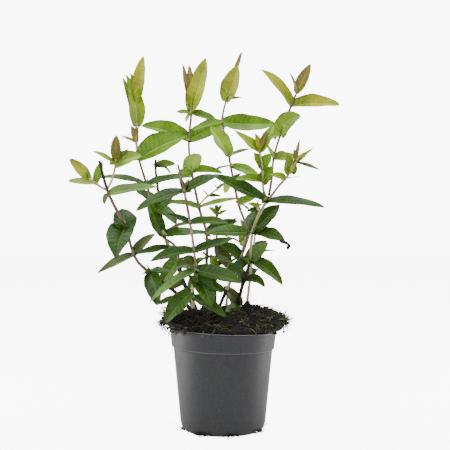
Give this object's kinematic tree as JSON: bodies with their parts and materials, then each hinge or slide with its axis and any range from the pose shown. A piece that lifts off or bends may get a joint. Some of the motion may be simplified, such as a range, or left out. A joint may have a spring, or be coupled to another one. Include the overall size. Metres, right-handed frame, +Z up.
{
  "type": "potted tutsan shrub",
  "caption": "Leggy evergreen tutsan shrub with opposite lance-shaped leaves and olive young tips, rooted in compost in a round grey plastic nursery pot.",
  "frame": {"origin": "centre of the pot's flat underside, on the surface that the pot stands on", "axes": "+Z up, +X to the plant's right as seen from its front, +Y towards its back"},
  "size_m": [0.361, 0.2493, 0.5357],
  "materials": {
    "pot_plastic": "satin",
    "compost": "matte",
    "bark": "matte",
    "foliage": "satin"
  },
  "bodies": {
    "root": {"pot": "pot_plastic", "soil": "compost", "left_stem_foot": "bark", "left_stem_leaves_1": "foliage", "left_stem_leaves_2": "foliage", "left_low_shoot_leaves_1": "foliage", "left_high_shoot_leaves_1": "foliage", "tall_left_stem_foot": "bark", "tall_left_stem_leaves_1": "foliage", "tall_left_stem_leaves_2": "foliage", "tall_left_stem_leaves_3": "foliage", "tall_left_stem_leaves_4": "foliage", "back_stump_foot": "bark", "back_stump_leaves_1": "foliage", "back_stump_leaves_2": "foliage", "back_stump_leaves_3": "foliage", "tall_back_stem_foot": "bark", "tall_back_stem_leaves_1": "foliage", "tall_back_stem_leaves_2": "foliage", "tall_back_stem_leaves_3": "foliage", "tall_back_stem_leaves_4": "foliage", "back_twig_leaves_1": "foliage", "tall_right_stem_foot": "bark", "tall_right_stem_leaves_1": "foliage", "tall_right_stem_leaves_2": "foliage", "tall_right_stem_leaves_3": "foliage", "tall_right_stem_leaves_4": "foliage", "right_stem_foot": "bark", "right_stem_leaves_1": "foliage", "right_stem_leaves_2": "foliage", "right_bud_leaves_1": "foliage", "right_tall_shoot_leaves_1": "foliage", "right_tall_shoot_leaves_2": "foliage", "right_mid_shoot_leaves_1": "foliage", "right_mid_shoot_leaves_2": "foliage", "right_low_shoot_leaves_1": "foliage", "front_stem_foot": "bark", "front_stem_leaves_1": "foliage", "front_stem_leaves_2": "foliage", "front_stem_leaves_3": "foliage", "back_short_stem_foot": "bark", "back_short_stem_leaves_1": "foliage", "back_short_stem_leaves_2": "foliage", "back_low_stem_foot": "bark", "back_low_stem_leaves_1": "foliage", "back_right_stem_foot": "bark", "back_right_stem_leaves_1": "foliage"}
  },
  "joints": []
}
